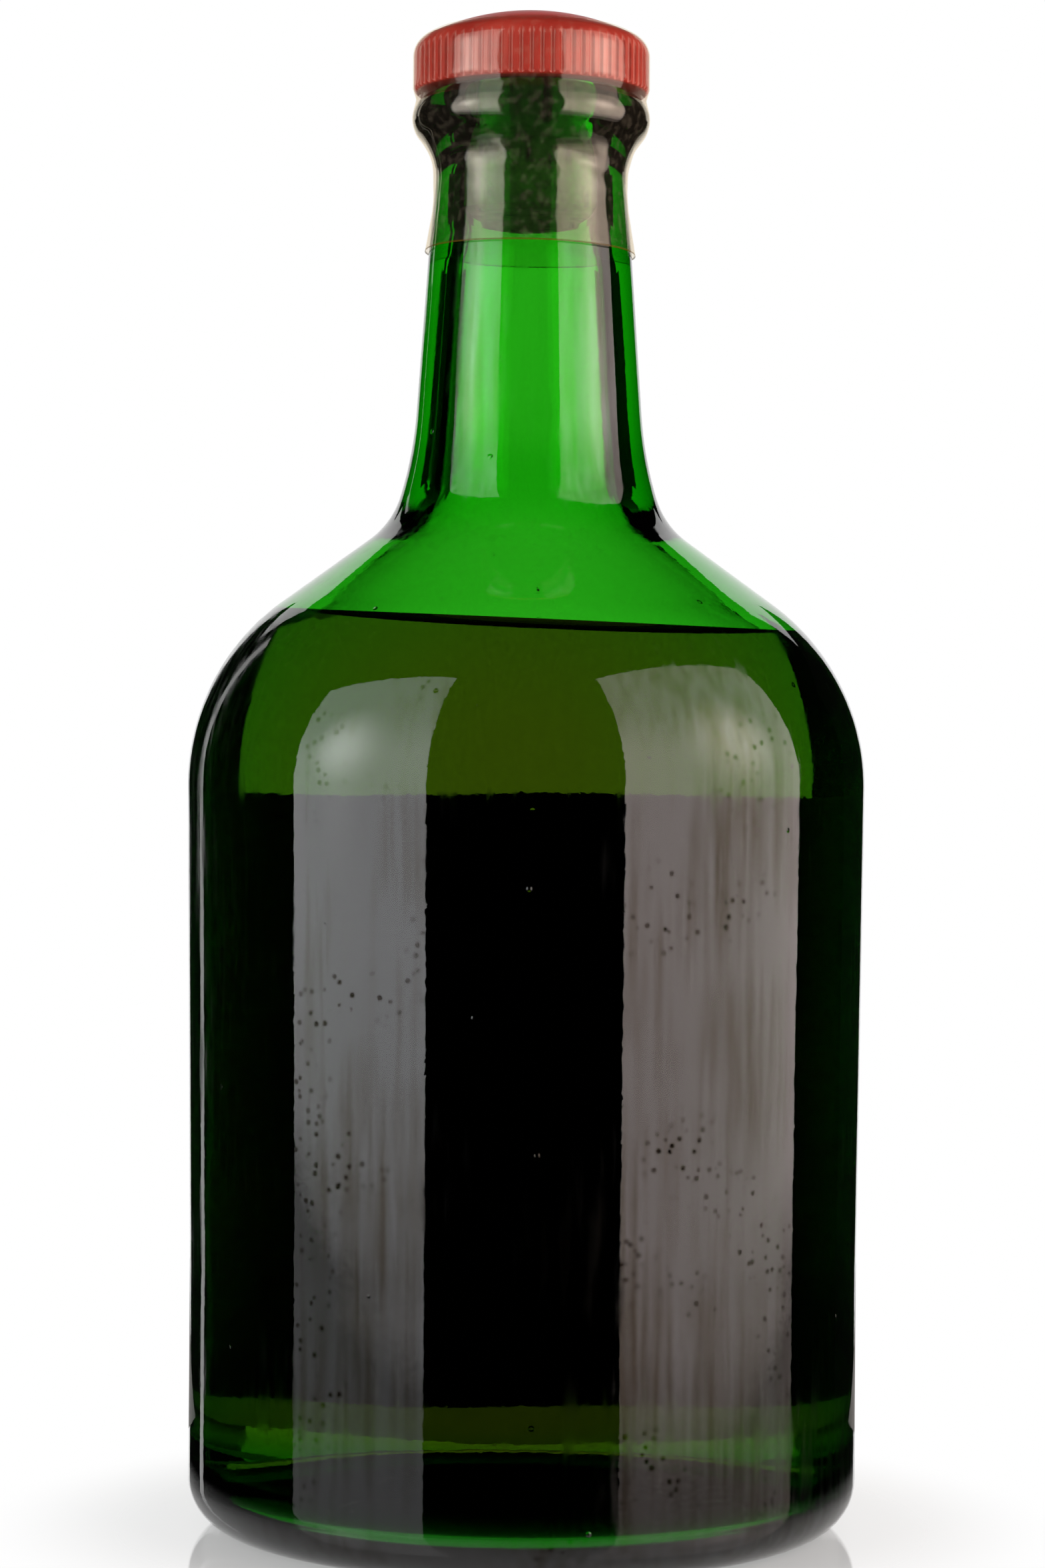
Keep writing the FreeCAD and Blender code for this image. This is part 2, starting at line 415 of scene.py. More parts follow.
def head_top(section, offset=0.0, rim_radius=0.0, spacing=0.4):
    """The head's corner arc and its dome arc, tangent to each other, up to the axis or to a rim."""
    meeting = math.degrees(math.acos(
        (head_radius - head_corner_arc) / (head_dome_radius - head_corner_arc)))
    rim = math.degrees(math.acos(rim_radius / (head_dome_radius + offset)))
    section.turn(head_corner_arc + offset, meeting, spacing)
    return section.turn(head_dome_radius + offset, rim - meeting, 2 * spacing)


def make_head():
    """The ribbed head: the section's radius less a round-bottomed groove at each of 72 angles."""
    socket_top = head_foot + cork_in_socket
    section = Section(0, socket_top)
    section.line_to(cork_radius, socket_top, 3.0)
    section.line_to(cork_radius, head_foot, 1.5)
    section.line_to(head_radius - head_foot_arc, head_foot, 1.2)
    section.turn(head_foot_arc, 90.0, 0.2)
    section.climb_to(head_foot + head_skirt, 0.5)
    head_top(section)
    groove_centre = head_radius + rib_groove_radius - rib_groove_depth
    past_socket = cork_radius + 0.5

    def shape(radius, height, angle):
        pitch = 2 * np.pi / rib_count
        across = ((angle + pitch / 2) % pitch - pitch / 2) * head_radius
        reach = np.sqrt(np.maximum(rib_groove_radius ** 2 - across ** 2, 0))
        floor = np.where(np.abs(across) < rib_groove_radius, groove_centre - reach, np.inf)
        return np.where(radius > past_socket, np.minimum(radius, floor), radius), height

    return turned("ribbed_head", on_axis(section.points), rib_count * points_per_rib, shape)


def make_cork():
    """The shank: a chamfered cylinder, pitted where the lenticels of the bark are cut through."""
    foot = lip_height - cork_below_lip
    top = head_foot + cork_in_socket - cork_glue
    section = Section(0, foot)
    section.line_to(cork_radius - cork_chamfer, foot, 0.5)
    section.line_to(cork_radius, foot + cork_chamfer, 0.3)
    section.line_to(cork_radius, top, 0.35)
    section.line_to(0, top, 2.0)

    def shape(radius, height, angle):
        pits = smooth_step(unevenness(height, angle * 5, 9, 9.0), 0.26, 0.5) * (height < head_foot)
        return radius - cork_pit_depth * pits * smooth_step(radius, 8.0, 9.4), height

    return turned("cork_shank", on_axis(section.points), cork_points, shape)


def shell(inner, outer):
    """A closed loop of points: up the outer section and back down the inner one."""
    return np.vstack([outer.points, inner.points[::-1]])


def make_film_top():
    """The film round the head: waist, skirt and rim, with h plus soft creases at the rim."""
    waist_height = lip_height - film_waist_below_lip + film_slit
    corner = head_foot + head_skirt
    sides = []
    for offset in (film_head_gap, film_head_gap + film):
        side = Section(film_waist_radius + offset - film_head_gap, waist_height)
        side.line_to(head_radius + offset, head_foot + head_foot_arc, 0.2).face(90.0)
        side.climb_to(corner, 0.6)
        head_top(side, offset, film_rim_radius)
        sides.append(side)

    def shape(radius, height, angle):
        rim = smooth_step(height, corner + 2.2, corner + 3.6)
        crease = unevenness(height, angle * 3, 8, 30.0)
        return radius, height + film_rim_crease * rim * (1 + crease)

    return turned("film_over_head", shell(*sides), film_points, shape, loop=True)


def make_film_neck():
    """The film round bead and neck: r plus puckers under the bead and at the flared foot.

    The foot is crooked: h less x times the tangent of its tilt, fading out up the flare.
    """
    lean = math.radians(upper_taper)
    flare_top = film_foot + film_flare_length
    glass_at_flare_top = waist_radius + (waist_start - flare_top) * math.tan(lean)
    lean_out = math.tan(lean) + film_flare / film_flare_length
    sides = []
    for offset in (film_glass_gap, film_glass_gap + film):
        side = Section(glass_at_flare_top + offset + lean_out * film_flare_length, film_foot)
        side.line_to(glass_at_flare_top + offset, flare_top, 0.5)
        side.line_to(waist_radius + math.cos(lean) * offset,
                     waist_start + math.sin(lean) * offset, 0.5)
        side.face(90.0 + upper_taper)
        mouth(side, film_off_bead, offset, 0.35)
        side.line_to(film_waist_radius + offset - film_glass_gap,
                     lip_height - film_waist_below_lip, 0.4)
        sides.append(side)

    def shape(radius, height, angle):
        foot = 1 - smooth_step(height, film_foot, flare_top)
        hollow = smooth_step(height, 190, 195) * (1 - smooth_step(height, 198.5, 201.5))
        pucker = unevenness(height, angle, 7, 16.0)
        tilt = -radius * np.cos(angle) * math.tan(math.radians(film_foot_tilt))
        radius = (radius + film_pucker * hollow * (1 + pucker)
                  + film_foot_pucker * foot * (1 + pucker))
        return radius, height + tilt * foot

    return turned("film_on_neck", shell(*sides), film_points, shape, loop=True)


def make_label():
    """A sheet wrapped on the body: r follows the wall, and arc length and height are its map."""
    rows, columns = 93, 121
    height = np.linspace(label_foot, label_foot + label_height, rows)[:, None]
    arc = np.linspace(-label_width / 2, label_width / 2, columns)[None, :]
    flare = np.clip((height - flare_start) / (shoulder_start - flare_start), 0, 1)
    radius = body_radius + (shoulder_radius - body_radius) * flare + label_thickness
    angle = np.pi / 2 - arc / body_radius
    grid = np.stack([radius * np.cos(angle), radius * np.sin(angle), height + 0 * arc], axis=2)
    piece = sheet("paper_label", grid)
    up = height - label_foot - label_height / 2
    flat = np.stack([arc + 0 * height, up + 0 * arc], axis=2).reshape(-1, 2)
    loops = np.zeros(len(piece.data.loops), dtype=np.int32)
    piece.data.loops.foreach_get("vertex_index", loops)
    layer = piece.data.uv_layers.new(name="label_mm")
    layer.data.foreach_set("uv", (flat[loops] / label_map).astype(np.float32).ravel())
    thick = piece.modifiers.new("paper", "SOLIDIFY")
    thick.thickness = (label_thickness - label_glue) * MM
    thick.offset = -1.0
    thick.material_offset = 1
    return piece


def linear(hex_colour):
    """An sRGB hex colour as linear red, green, blue and 1."""
    value = np.array([int(hex_colour[i:i + 2], 16) / 255 for i in (1, 3, 5)])
    value = np.where(value <= 0.04045, value / 12.92, ((value + 0.055) / 1.055) ** 2.4)
    return (*value.tolist(), 1.0)


WHITE = (1, 1, 1, 1)
BLACK = (0, 0, 0, 1)


def per_mm(size):
    """The texture scale at which one repeat on Object coordinates takes this many millimetres."""
    return 1000.0 / size


def add(tree, kind, inputs=None, **settings):
    """Adds a node with its settings, and gives each input a value or another node's output."""
    made = tree.nodes.new(kind)
    for name, value in settings.items():
        setattr(made, name, value)
    for socket, value in (inputs or {}).items():
        if isinstance(value, bpy.types.NodeSocket):
            tree.links.new(value, made.inputs[socket])
        else:
            made.inputs[socket].default_value = value
    return made


def new_material(name):
    """A material with an empty node tree, and that tree."""
    material = bpy.data.materials.new(name)
    material.use_nodes = True
    material.node_tree.nodes.clear()
    return material, material.node_tree


def bottle_green_glass():
    """Soda-lime glass coloured with chromium, blown in a mould and fire-polished.

    It is clear and glossy, bright green where it is thin and nearly black where it is deep, with a
    slight wave in its reflections. Years of handling leave fine rubs and pits, upright streaks of
    wiped residue that dull the shine and brown it, and dried splashes in clusters of small specks.
    """
    material, tree = new_material("Bottle-green soda-lime glass, blow-moulded")
    place = add(tree, "ShaderNodeTexCoord").outputs["Object"]
    patch = add(tree, "ShaderNodeTexNoise", {
        "Vector": place, "Scale": per_mm(30), "Detail": 2.0}).outputs[0]
    # Rubs: slanting hair lines, in patches, that roughen the polish
    slanted = add(tree, "ShaderNodeMapping", {
        "Vector": place, "Rotation": (0.5, 0.5, 0.3), "Scale": (1.0, 1.0, 0.12)}).outputs[0]
    rub = add(tree, "ShaderNodeTexNoise", {
        "Vector": slanted, "Scale": per_mm(1.6), "Detail": 3.0}).outputs[0]
    rubs = add(tree, "ShaderNodeMath", {0: rub, 1: patch}, operation="MULTIPLY").outputs[0]
    rough = add(tree, "ShaderNodeMapRange", {
        "Value": rubs, "From Min": 0.27, "From Max": 0.42,
        "To Min": 0.0, "To Max": 0.18}).outputs[0]
    # Residue: nearly upright streaks in the same patches, which brown the shine
    wiped = add(tree, "ShaderNodeMapping", {
        "Vector": place, "Rotation": (0.0, 0.12, 0.0), "Scale": (1.0, 1.0, 0.05)}).outputs[0]
    streak = add(tree, "ShaderNodeTexNoise", {
        "Vector": wiped, "Scale": per_mm(1.6), "Detail": 4.0}).outputs[0]
    streaks = add(tree, "ShaderNodeMath", {0: streak, 1: patch}, operation="MULTIPLY").outputs[0]
    residue = add(tree, "ShaderNodeMapRange", {
        "Value": streaks, "From Min": 0.20, "From Max": 0.40,
        "To Min": 0.0, "To Max": 0.75}).outputs[0]
    dulled = add(tree, "ShaderNodeMix", {
        "Factor": residue, "A": WHITE, "B": linear("#A89678")}, data_type="RGBA").outputs["Result"]
    # Splashes: specks in clusters
    drop = add(tree, "ShaderNodeTexVoronoi", {
        "Vector": place, "Scale": per_mm(1.7)}).outputs["Distance"]
    speck = add(tree, "ShaderNodeMapRange", {
        "Value": drop, "From Min": 0.16, "From Max": 0.30,
        "To Min": 0.95, "To Max": 0.0}).outputs[0]
    splash = add(tree, "ShaderNodeTexNoise", {
        "Vector": place, "Scale": per_mm(21), "Detail": 2.0}).outputs[0]
    cluster = add(tree, "ShaderNodeMapRange", {
        "Value": splash, "From Min": 0.52, "From Max": 0.62}).outputs[0]
    specks = add(tree, "ShaderNodeMath", {0: speck, 1: cluster}, operation="MULTIPLY").outputs[0]
    soiled = add(tree, "ShaderNodeMix", {
        "Factor": specks, "A": dulled, "B": linear("#66543C")}, data_type="RGBA").outputs["Result"]
    # No shine where the spirit wets the glass
    dry = add(tree, "ShaderNodeAttribute", attribute_name="dry").outputs["Fac"]
    shine = add(tree, "ShaderNodeMix", {
        "Factor": dry, "A": BLACK, "B": soiled}, data_type="RGBA").outputs["Result"]
    # Ripple and swell of the blown skin, and pits in the middles of a few cells
    peel = add(tree, "ShaderNodeTexNoise", {
        "Vector": place, "Scale": per_mm(1.4), "Detail": 2.0}).outputs[0]
    ripple = add(tree, "ShaderNodeBump", {
        "Height": peel, "Strength": 1.0, "Distance": 0.006 * MM}).outputs[0]
    wave = add(tree, "ShaderNodeTexNoise", {
        "Vector": place, "Scale": per_mm(16), "Detail": 1.0}).outputs[0]
    swell = add(tree, "ShaderNodeBump", {
        "Height": wave, "Strength": 1.0, "Distance": 0.03 * MM, "Normal": ripple}).outputs[0]
    cell = add(tree, "ShaderNodeTexVoronoi", {"Vector": place, "Scale": per_mm(7)})
    chosen = add(tree, "ShaderNodeSeparateColor", {"Color": cell.outputs["Color"]}).outputs["Red"]
    few = add(tree, "ShaderNodeMath", {0: chosen, 1: 0.28}, operation="LESS_THAN").outputs[0]
    pit = add(tree, "ShaderNodeMapRange", {
        "Value": cell.outputs["Distance"], "From Min": 0.03, "From Max": 0.06,
        "To Min": 1.0, "To Max": 0.0}).outputs[0]
    pits = add(tree, "ShaderNodeMath", {0: pit, 1: few}, operation="MULTIPLY").outputs[0]
    pitted = add(tree, "ShaderNodeBump", {
        "Height": pits, "Strength": 1.0, "Distance": 0.1 * MM, "Normal": swell}).outputs[0]
    surface = add(tree, "ShaderNodeBsdfPrincipled", {
        "Base Color": WHITE, "Roughness": rough, "IOR": 1.52, "Transmission Weight": 1.0,
        "Specular Tint": shine, "Normal": pitted})
    depth = add(tree, "ShaderNodeVolumeAbsorption", {
        "Color": (0.19, 0.82, 0.02, 1.0), "Density": 565.0})
    add(tree, "ShaderNodeOutputMaterial", {
        "Surface": surface.outputs[0], "Volume": depth.outputs[0]})
    return material


def amber_spirit():
    """Cask-aged spirit: a clear amber liquid.

    Where it is deep it takes the blue and most of the green out of the light, and it shines only
    where air lies on it.
    """
    material, tree = new_material("Amber spirit, cask-aged")
    dry = add(tree, "ShaderNodeAttribute", attribute_name="dry").outputs["Fac"]
    surface = add(tree, "ShaderNodeBsdfPrincipled", {
        "Base Color": WHITE, "Roughness": 0.0, "IOR": 1.36, "Transmission Weight": 1.0,
        "Specular Tint": dry})
    depth = add(tree, "ShaderNodeVolumeAbsorption", {
        "Color": (0.90, 0.27, 0.0, 1.0), "Density": 32.0})
    add(tree, "ShaderNodeOutputMaterial", {
        "Surface": surface.outputs[0], "Volume": depth.outputs[0]})
    return material


def red_moulded_plastic():
    """Polystyrene, injection moulded in a polished tool.

    It is an even deep red with a soft gloss and slight flow marks.
    """
    material, tree = new_material("Red polystyrene, injection moulded")
    place = add(tree, "ShaderNodeTexCoord").outputs["Object"]
    flow = add(tree, "ShaderNodeTexNoise", {
        "Vector": place, "Scale": per_mm(5), "Detail": 3.0}).outputs[0]
    tone = add(tree, "ShaderNodeValToRGB", {"Fac": flow})
    darker, lighter = tone.color_ramp.elements
    darker.position, darker.color = 0.35, linear("#A1261F")
    lighter.position, lighter.color = 0.7, linear("#B4342B")
    rough = add(tree, "ShaderNodeMapRange", {
        "Value": flow, "To Min": 0.30, "To Max": 0.42}).outputs[0]
    grain = add(tree, "ShaderNodeTexNoise", {
        "Vector": place, "Scale": per_mm(0.5), "Detail": 2.0}).outputs[0]
    bump = add(tree, "ShaderNodeBump", {
        "Height": grain, "Strength": 0.4, "Distance": 0.03 * MM}).outputs[0]
    surface = add(tree, "ShaderNodeBsdfPrincipled", {
        "Base Color": tone.outputs[0], "Roughness": rough, "IOR": 1.58, "Normal": bump})
    add(tree, "ShaderNodeOutputMaterial", {"Surface": surface.outputs[0]})
    return material


def ground_cork():
    """Natural cork, punched from bark and ground round.

    It is warm tan and mottled, with dark lenticels and a dull skin.
    """
    material, tree = new_material("Natural cork, punched and ground")
    place = add(tree, "ShaderNodeTexCoord").outputs["Object"]
    mottle = add(tree, "ShaderNodeTexNoise", {
        "Vector": place, "Scale": per_mm(2.2), "Detail": 6.0, "Roughness": 0.65}).outputs[0]
    tone = add(tree, "ShaderNodeValToRGB", {"Fac": mottle})
    darker, lighter = tone.color_ramp.elements
    darker.position, darker.color = 0.3, linear("#8A5F38")
    lighter.position, lighter.color = 0.7, linear("#C99C68")
    drawn_out = add(tree, "ShaderNodeMapping", {
        "Vector": place, "Scale": (1.0, 1.0, 0.35)}).outputs[0]
    cell = add(tree, "ShaderNodeTexVoronoi", {
        "Vector": drawn_out, "Scale": per_mm(2.6)}).outputs["Distance"]
    pore = add(tree, "ShaderNodeMapRange", {
        "Value": cell, "From Min": 0.10, "From Max": 0.26, "To Min": 1.0, "To Max": 0.0}).outputs[0]
    colour = add(tree, "ShaderNodeMix", {
        "Factor": pore, "A": tone.outputs[0], "B": linear("#4A2E19")},
        data_type="RGBA").outputs["Result"]
    bump = add(tree, "ShaderNodeBump", {
        "Height": pore, "Strength": 0.8, "Distance": 0.2 * MM}, invert=True).outputs[0]
    surface = add(tree, "ShaderNodeBsdfPrincipled", {
        "Base Color": colour, "Roughness": 0.75, "Normal": bump})
    add(tree, "ShaderNodeOutputMaterial", {"Surface": surface.outputs[0]})
    return material


def shrunk_film():
    """Clear PVC film, shrunk on with hot air and yellowed a little.

    It lets nearly all light straight through and mirrors at each face, more so at a slant, with a
    crinkled gloss and a trace of dust. A thin dull brown band runs along its cut foot.
    """
    material, tree = new_material("Clear PVC film, heat-shrunk")
    place = add(tree, "ShaderNodeTexCoord").outputs["Object"]
    facing = add(tree, "ShaderNodeLayerWeight", {"Blend": 0.5}).outputs["Facing"]
    slant = add(tree, "ShaderNodeMath", {0: facing, 1: 5.0}, operation="POWER").outputs[0]
    mirror = add(tree, "ShaderNodeMath", {
        0: slant, 1: 0.25, 2: 0.025}, operation="MULTIPLY_ADD").outputs[0]
    crinkle = add(tree, "ShaderNodeTexNoise", {
        "Vector": place, "Scale": per_mm(6), "Detail": 2.0}).outputs[0]
    bump = add(tree, "ShaderNodeBump", {
        "Height": crinkle, "Strength": 1.0, "Distance": 0.12 * MM}).outputs[0]
    clear = add(tree, "ShaderNodeBsdfTransparent", {"Color": linear("#F8F5EF")}).outputs[0]
    gloss = add(tree, "ShaderNodeBsdfAnisotropic", {
        "Color": linear("#FFF9EE"), "Roughness": 0.08, "Normal": bump}).outputs[0]
    clean = add(tree, "ShaderNodeMixShader", {0: mirror, 1: clear, 2: gloss}).outputs[0]
    specks = add(tree, "ShaderNodeTexNoise", {
        "Vector": place, "Scale": per_mm(1.2), "Detail": 4.0}).outputs[0]
    dust = add(tree, "ShaderNodeMapRange", {
        "Value": specks, "From Min": 0.5, "From Max": 0.8,
        "To Min": 0.004, "To Max": 0.03}).outputs[0]
    # The foot, by height above its crooked edge
    axes = add(tree, "ShaderNodeSeparateXYZ", {"Vector": place})
    climb = add(tree, "ShaderNodeMath", {
        0: axes.outputs["X"], 1: math.tan(math.radians(film_foot_tilt)), 2: axes.outputs["Z"]},
        operation="MULTIPLY_ADD").outputs[0]
    cut = add(tree, "ShaderNodeMapRange", {
        "Value": climb, "From Min": (film_foot + 0.10) * MM, "From Max": (film_foot + 0.30) * MM,
        "To Min": 0.4, "To Max": 0.0}).outputs[0]
    veiled = add(tree, "ShaderNodeMath", {0: dust, 1: cut}, operation="MAXIMUM").outputs[0]
    # A thin dull brown band along the cut foot
    foot_band = add(tree, "ShaderNodeMath", {0: cut, 1: 0.05}, operation="GREATER_THAN").outputs[0]
    tone = add(tree, "ShaderNodeMix", {
        "Factor": foot_band, "A": linear("#D8C8AC"), "B": linear("#5A4416")},
        data_type="RGBA").outputs["Result"]
    veil = add(tree, "ShaderNodeBsdfDiffuse", {"Color": tone}).outputs[0]
    surface = add(tree, "ShaderNodeMixShader", {0: veiled, 1: clean, 2: veil})
    add(tree, "ShaderNodeOutputMaterial", {"Surface": surface.outputs[0]})
    return material


def label_paper():
    """Uncoated label paper, printed with plain rules and aged.

    It is cream, toned towards its edges, fibrous and dull.
    """
    material, tree = new_material("Uncoated label paper, letterpress printed")
    place = add(tree, "ShaderNodeTexCoord").outputs["Object"]
    flat = add(tree, "ShaderNodeUVMap", uv_map="label_mm").outputs[0]
    axes = add(tree, "ShaderNodeSeparateXYZ", {"Vector": flat})
    across = add(tree, "ShaderNodeMath", {0: axes.outputs["X"]}, operation="ABSOLUTE").outputs[0]
    upward = add(tree, "ShaderNodeMath", {0: axes.outputs["Y"]}, operation="ABSOLUTE").outputs[0]
    # Distance in from the nearest edge, in units of the map
    from_side = add(tree, "ShaderNodeMath", {
        0: label_width / 2 / label_map, 1: across}, operation="SUBTRACT").outputs[0]
    from_end = add(tree, "ShaderNodeMath", {
        0: label_height / 2 / label_map, 1: upward}, operation="SUBTRACT").outputs[0]
    inset = add(tree, "ShaderNodeMath", {
        0: from_side, 1: from_end}, operation="MINIMUM").outputs[0]
    # A thick rule and a thin one, by their distances in from the edge in millimetres
    thick_rule, thin_rule = (4.0, 5.4), (6.4, 6.8)
    rules = add(tree, "ShaderNodeValToRGB", {"Fac": inset})
    rules.color_ramp.interpolation = "CONSTANT"
    stops = rules.color_ramp.elements
    stops[0].color = BLACK
    stops[1].position, stops[1].color = thick_rule[0] / label_map, WHITE
    for distance, ink in ((thick_rule[1], BLACK), (thin_rule[0], WHITE), (thin_rule[1], BLACK)):
        stops.new(distance / label_map).color = ink
    toned = add(tree, "ShaderNodeTexNoise", {
        "Vector": place, "Scale": per_mm(22), "Detail": 5.0}).outputs[0]
    age = add(tree, "ShaderNodeMapRange", {
        "Value": inset, "From Min": 0.0, "From Max": 0.12,
        "To Min": 0.75, "To Max": 0.15}).outputs[0]
    aged = add(tree, "ShaderNodeMath", {0: age, 1: toned}, operation="MULTIPLY").outputs[0]
    paper = add(tree, "ShaderNodeMix", {
        "Factor": aged, "A": linear("#E6DABB"), "B": linear("#A8834C")},
        data_type="RGBA").outputs["Result"]
    colour = add(tree, "ShaderNodeMix", {
        "Factor": rules.outputs[0], "A": paper, "B": linear("#20402A")},
        data_type="RGBA").outputs["Result"]
    fibre = add(tree, "ShaderNodeTexNoise", {
        "Vector": place, "Scale": per_mm(0.6), "Detail": 4.0}).outputs[0]
    bump = add(tree, "ShaderNodeBump", {
        "Height": fibre, "Strength": 0.5, "Distance": 0.04 * MM}).outputs[0]
    surface = add(tree, "ShaderNodeBsdfPrincipled", {
        "Base Color": colour, "Roughness": 0.8, "Normal": bump})
    add(tree, "ShaderNodeOutputMaterial", {"Surface": surface.outputs[0]})
    return material


def glue_side_painted_shade():
    """Dextrin glue on the label's back, brushed on and dried: brown streaks with a low shine.

    Its browns are made nearly black, as painted shade for the label's back inside the bottle.
    """
    material, tree = new_material("Dextrin label glue, darkened as painted shade")
    place = add(tree, "ShaderNodeTexCoord").outputs["Object"]
    brushed = add(tree, "ShaderNodeMapping", {
        "Vector": place, "Scale": (1.0, 1.0, 0.2)}).outputs[0]
    streak = add(tree, "ShaderNodeTexNoise", {
        "Vector": brushed, "Scale": per_mm(3), "Detail": 3.0}).outputs[0]
    # Painted shade: the glue's browns are nearly black, for the label's back inside the bottle
    tone = add(tree, "ShaderNodeMix", {
        "Factor": streak, "A": linear("#120C06"), "B": linear("#2A1C0E")},
        data_type="RGBA").outputs["Result"]
    surface = add(tree, "ShaderNodeBsdfPrincipled", {"Base Color": tone, "Roughness": 0.5})
    add(tree, "ShaderNodeOutputMaterial", {"Surface": surface.outputs[0]})
    return material


def dress(piece, materials, slot, body, *nodes):
    """Gives a piece its materials, its body and the solids that it stands for.

    The slot is not used.
    """
    for material in materials:
        piece.data.materials.append(material)
    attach(piece, body)
    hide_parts(*nodes)


film_material = shrunk_film()
dress(make_glass(), [bottle_green_glass()], "green_glass", "bottle", "bottle", "bottle_neck")
dress(make_spirit(), [amber_spirit()], "amber_spirit", "bottle", "spirit")
dress(make_label(), [label_paper(), glue_side_painted_shade()], "label_paper", "bottle", "front_label")
dress(make_film_neck(), [film_material], "clear_film", "bottle", "sleeve_neck")
dress(make_film_top(), [film_material], "clear_film", "head_film", "sleeve_top")
dress(make_head(), [red_moulded_plastic()], "red_plastic", "stopper", "stopper_head")
dress(make_cork(), [ground_cork()], "cork", "stopper", "stopper_cork")


def shown_white(tree):
    """1 for what is seen, also in mirrors and glass, and 0 for light that falls on things."""
    path = add(tree, "ShaderNodeLightPath")
    seen = path.outputs["Is Camera Ray"]
    for kind in ("Is Glossy Ray", "Is Transmission Ray"):
        seen = add(tree, "ShaderNodeMath", {
            0: seen, 1: path.outputs[kind]}, operation="MAXIMUM").outputs[0]
    return seen


def pale_floor():
    """A round of pale polished floor that fades out into the white surround: rings on a disc."""
    floor_radius, floor_drop, rings = 90.0, 0.02, 14
    fade_start, fade_end = 50.0, 80.0
    white_share = 0.5
    radius = np.linspace(0, floor_radius, rings)[::-1]
    floor = turned("floor", np.column_stack([radius, np.full(rings, -floor_drop)]), floor_points)
    material, tree = new_material("Pale polished acrylic sheet")
    place = add(tree, "ShaderNodeTexCoord").outputs["Object"]
    away = add(tree, "ShaderNodeVectorMath", {0: place}, operation="LENGTH").outputs["Value"]
    gone = add(tree, "ShaderNodeMapRange", {
        "Value": away, "From Min": fade_start * MM, "From Max": fade_end * MM},
        interpolation_type="SMOOTHSTEP").outputs[0]
    white = add(tree, "ShaderNodeMath", {
        0: shown_white(tree), 1: white_share}, operation="MULTIPLY").outputs[0]
    board = add(tree, "ShaderNodeBsdfDiffuse", {"Color": linear("#D8D8D6")}).outputs[0]
    glow = add(tree, "ShaderNodeEmission", {"Color": WHITE, "Strength": 1.0}).outputs[0]
    lit = add(tree, "ShaderNodeMixShader", {0: white, 1: board, 2: glow}).outputs[0]
    sheen = add(tree, "ShaderNodeFresnel", {"IOR": 2.0}).outputs[0]
    polish = add(tree, "ShaderNodeBsdfAnisotropic", {"Color": WHITE, "Roughness": 0.06}).outputs[0]
    polished = add(tree, "ShaderNodeMixShader", {0: sheen, 1: lit, 2: polish}).outputs[0]
    clear = add(tree, "ShaderNodeBsdfTransparent", {"Color": WHITE}).outputs[0]
    faded = add(tree, "ShaderNodeMixShader", {0: gone, 1: polished, 2: clear})
    add(tree, "ShaderNodeOutputMaterial", {"Surface": faded.outputs[0]})
    floor.data.materials.append(material)


def white_surround():
    """White to the camera, in mirrors and through glass, and a plain soft fill elsewhere."""
    fill = 0.50
    world = bpy.data.worlds.new("White surround")
    bpy.context.scene.world = world
    world.use_nodes = True
    tree = world.node_tree
    tree.nodes.clear()
    level = add(tree, "ShaderNodeMapRange", {
        "Value": shown_white(tree), "To Min": fill, "To Max": 1.0}).outputs[0]
    glow = add(tree, "ShaderNodeBackground", {"Color": WHITE, "Strength": level})
    add(tree, "ShaderNodeOutputWorld", {"Surface": glow.outputs[0]})


def card(name, grid, colour):
    """A matt card that shows only in gloss and through glass, and stops no light and no view."""
    piece = sheet(name, grid)
    material, tree = new_material("Flocked card, " + name)
    matt = add(tree, "ShaderNodeBsdfDiffuse", {"Color": linear(colour)})
    add(tree, "ShaderNodeOutputMaterial", {"Surface": matt.outputs[0]})
    piece.data.materials.append(material)
    piece.visible_camera = piece.visible_diffuse = piece.visible_shadow = False


def dark_studio():
    """Black cards all round but for the white behind the bottle.

    A curved card is part of a sphere about the bottle, over a span of bearings from +Y and of
    elevations. A flag is a flat upright board close behind, over a span of x and of height, and the
    table is a flat grey one, over a span of x and of y.
    """
    sphere_radius, sphere_height = 1400.0, 100.0
    flag_distance, flag_heights = 200.0, (-60.0, 225.0)
    table_across, table_back, table_height = (-95.0, 95.0), (80.0, 300.0), -1.0
    black, grey = "#060606", "#8C8C8A"
    for name, bearings, elevations in (
            ("round_the_sides", (31.5, 319.0), (-90, 90)),
            ("beside_the_gap", (323.0, 329.0), (-90, 90)),
            ("over_the_gap", (319.0, 323.0), (28, 90)),
            ("over_the_white", (-31.0, 31.5), (33, 90)),
            ("under_the_white", (-31.0, 31.5), (-90, -22))):
        bearing = np.radians(np.linspace(*bearings, 97))[None, :]
        rise = np.radians(np.linspace(*elevations, 33))[:, None]
        card(name, np.stack([
            sphere_radius * np.cos(rise) * np.sin(bearing),
            sphere_radius * np.cos(rise) * np.cos(bearing),
            sphere_height + sphere_radius * np.sin(rise) + 0 * bearing], axis=2), black)
    for name, across in (("left_flag", (-185.0, -104.0)), ("right_flag", (104.0, 260.0))):
        x, z = np.meshgrid(np.linspace(*across, 5), np.linspace(*flag_heights, 5))
        card(name, np.stack([x, np.full_like(x, flag_distance), z], axis=2), black)
    x, y = np.meshgrid(np.linspace(*table_across, 5), np.linspace(*table_back, 5))
    card("table", np.stack([x, y, np.full_like(x, table_height)], axis=2), grey)


